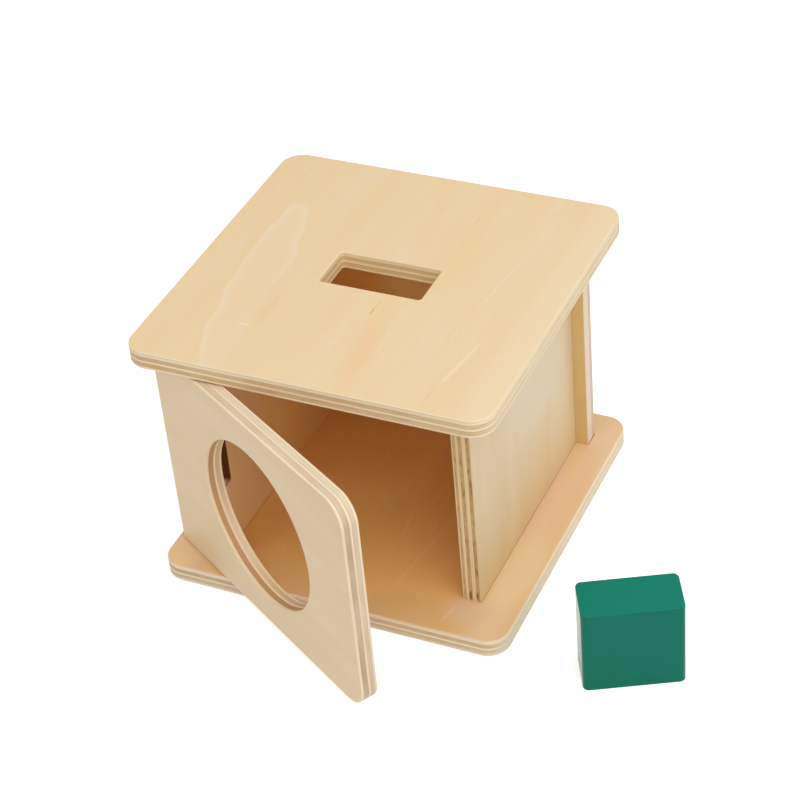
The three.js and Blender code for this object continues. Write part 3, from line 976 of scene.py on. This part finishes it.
def make_left_wall():
    """The left wall, with the notch in its front edge."""
    size = LEFT_HIGH - LEFT_LOW
    low = (size.z - NOTCH_LENGTH) / 2
    high = (size.z + NOTCH_LENGTH) / 2
    notch = [(0, high, 0), (NOTCH_DEPTH, high, NOTCH_CORNER), (NOTCH_DEPTH, low, NOTCH_CORNER), (0, low, 0)]
    corners = rectangle(0, 0, size.y, size.z) + notch
    piece = sheet("plywood_left_wall", [outline(corners)], size.x, WALL_EASE)
    wood = lacquered_plywood(
        "lacquered_plywood_left_wall", WALL_SHEET, LEFT_WOOD, figure=painted_depth_shade, edge=shaded_notch)
    fit(piece, "left_wall", "carcass", wood, standing_side(LEFT_LOW))


def make_back_wall():
    """The back wall, which runs past both side walls."""
    size = BACK_HIGH - BACK_LOW
    piece = sheet("plywood_back_wall", [outline(rectangle(0, 0, size.x, size.z))], size.y, WALL_EASE)
    wood = lacquered_plywood("lacquered_plywood_back_wall", size.y, BACK_WOOD, marks=BACK_WALL_MARKS)
    place = Matrix.Translation((BACK_LOW.x, BACK_HIGH.y, BACK_LOW.z)) @ Matrix.Rotation(math.pi / 2, 4, "X")
    fit(piece, "back_wall", "carcass", wood, place)


def make_door():
    """The door, with its round window and round pivot edge, swung open about its pivot."""
    corners = [
        (-DOOR_TAIL, 0, 0), (DOOR_REACH, 0, DOOR_CORNER),
        (DOOR_REACH, DOOR_HEIGHT, DOOR_CORNER), (-DOOR_TAIL, DOOR_HEIGHT, 0),
    ]
    window = round_hole(WINDOW_X, DOOR_HEIGHT / 2, WINDOW_RADIUS, WINDOW_STEPS)
    piece = sheet("plywood_door", [outline(corners), window], DOOR_SHEET, EASE)

    # The pivot edge is rounded over its whole thickness, and the pins' holes run in from both ends
    nose = DOOR_SHEET / 2
    end = DOOR_REACH + CUT_OVERRUN
    plan = outline([(-DOOR_TAIL, -nose, nose), (end, -nose, 0), (end, nose, 0), (-DOOR_TAIL, nose, nose)])
    rounded = sheet("half_round_plan", [plan], DOOR_HEIGHT, 0)
    upright = Matrix.Translation((0, 0, nose)) @ Matrix.Rotation(-math.pi / 2, 4, "X")
    rounded.matrix_world = upright
    shape_by(piece, rounded, "INTERSECT")
    bore = PIN_RADIUS + PIN_PRESS_CLEARANCE
    depth = PIN_GRIP + PIN_END_CLEARANCE
    for low, high in ((-CUT_OVERRUN, depth), (DOOR_HEIGHT - depth, DOOR_HEIGHT + CUT_OVERRUN)):
        drill = turned("pin_drill", [(bore, low), (bore, high)], PIN_SIDES)
        drill.matrix_world = upright
        shape_by(piece, drill, "DIFFERENCE")

    wood = lacquered_plywood("lacquered_plywood_door", DOOR_SHEET, DOOR_WOOD, edge=rim_plies)
    swung = Matrix.Translation((PIVOT.x, PIVOT.y, DOOR_LOW.z)) @ Matrix.Rotation(-DOOR_OPENING, 4, "Z")
    fit(piece, "door", "door", wood, swung @ upright.inverted())


def make_pins(steel):
    """The two pins on which the door swings, chamfered at both ends."""
    length = DOOR_LOW.z - BASE_HIGH.z + PIN_GRIP + PIN_SEAT
    narrow = PIN_RADIUS - PIN_CHAMFER
    profile = [(narrow, 0), (PIN_RADIUS, PIN_CHAMFER), (PIN_RADIUS, length - PIN_CHAMFER), (narrow, length)]
    for end in ("lower", "upper"):
        node = end + "_pivot_pin"
        piece = turned("steel_" + end + "_pin", profile, PIN_SIDES)
        place = Matrix.Translation((PIVOT.x, PIVOT.y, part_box(node)[0].z))
        fit(piece, node, "door", steel, place)


def make_block():
    """The painted block, which stands on the floor beside the box."""
    plan = outline(centred_rectangle(BLOCK_WIDTH, BLOCK_THICKNESS, BLOCK_CORNER))
    piece = sheet("painted_block", [plan], BLOCK_HEIGHT, BLOCK_EASE)
    middle = (BLOCK_LOW + BLOCK_HIGH) / 2
    place = Matrix.Translation((middle.x, middle.y, BLOCK_LOW.z)) @ Matrix.Rotation(BLOCK_TURN, 4, "Z")
    fit(piece, "posting_block", "block", green_enamel(), place)


make_base()
make_top()
make_right_wall()
make_left_wall()
make_back_wall()
make_door()
make_pins(drawn_steel())
make_block()


# Floor, light and camera

def seen_directly(tree):
    """1 for rays from the camera, from a reflection or through something clear, and 0 for light."""
    rays = add(tree, "LightPath")
    seen = add(tree, "Math", rays["Is Camera Ray"], rays["Is Glossy Ray"], operation="MAXIMUM")["Value"]
    return add(tree, "Math", seen, rays["Is Transmission Ray"], operation="MAXIMUM")["Value"]


def make_floor():
    """A matt white floor that is seen as white, but keeps the object's shadow."""
    data = bpy.data.meshes.new("floor")
    half = FLOOR_SIDE / 2
    corners = [(-half, -half, 0), (half, -half, 0), (half, half, 0), (-half, half, 0)]
    data.from_pydata(corners, [], [(0, 1, 2, 3)])
    floor = bpy.data.objects.new("floor", data)
    bpy.context.scene.collection.objects.link(floor)
    material, tree, shader = start_material("matt_white_floor")
    glow = add(tree, "Math", seen_directly(tree), FLOOR_GLOW, operation="MULTIPLY")["Value"]
    set_inputs(tree, shader, {
        "Base Color": FLOOR_COLOUR, "Roughness": 1, "Specular IOR Level": 0,
        "Emission Color": WHITE, "Emission Strength": glow,
    })
    data.materials.append(material)


def light_room():
    """Even white light from all round, and a large softbox from the upper right."""
    world = bpy.data.worlds.new("white_room")
    bpy.context.scene.world = world
    world.use_nodes = True
    tree = world.node_tree
    strength = add(tree, "MapRange", seen_directly(tree), 0, 1, ROOM_LIGHT, 1)["Result"]
    set_inputs(tree, tree.nodes["Background"], {"Color": WHITE, "Strength": strength})
    lamp = bpy.data.lights.new("softbox", "AREA")
    lamp.size = SOFTBOX_SIDE
    lamp.energy = SOFTBOX_POWER
    softbox = bpy.data.objects.new("softbox", lamp)
    softbox.location = SOFTBOX_PLACE
    softbox.rotation_euler = SOFTBOX_PLACE.to_track_quat("Z", "Y").to_euler()
    bpy.context.scene.collection.objects.link(softbox)


def make_camera():
    """A camera that looks at its target from its azimuth, elevation and distance, rolled a little."""
    level = math.cos(CAMERA_ELEVATION)
    across = math.sin(CAMERA_AZIMUTH) * level
    back = Vector((across, -math.cos(CAMERA_AZIMUTH) * level, math.sin(CAMERA_ELEVATION)))
    right = Vector((0, 0, 1)).cross(back).normalized()
    facing = Matrix((right, back.cross(right), back)).transposed().to_4x4()
    data = bpy.data.cameras.new("camera")
    data.sensor_width = SENSOR_WIDTH
    data.lens = FOCAL_LENGTH_PIXELS / IMAGE_SIDE * SENSOR_WIDTH
    camera = bpy.data.objects.new("camera", data)
    place = Matrix.Translation(CAMERA_TARGET + back * CAMERA_DISTANCE)
    camera.matrix_world = place @ facing @ Matrix.Rotation(CAMERA_ROLL, 4, "Z")
    bpy.context.scene.collection.objects.link(camera)
    bpy.context.scene.camera = camera


make_floor()
light_room()
make_camera()
bpy.context.scene.view_settings.view_transform = "Standard"
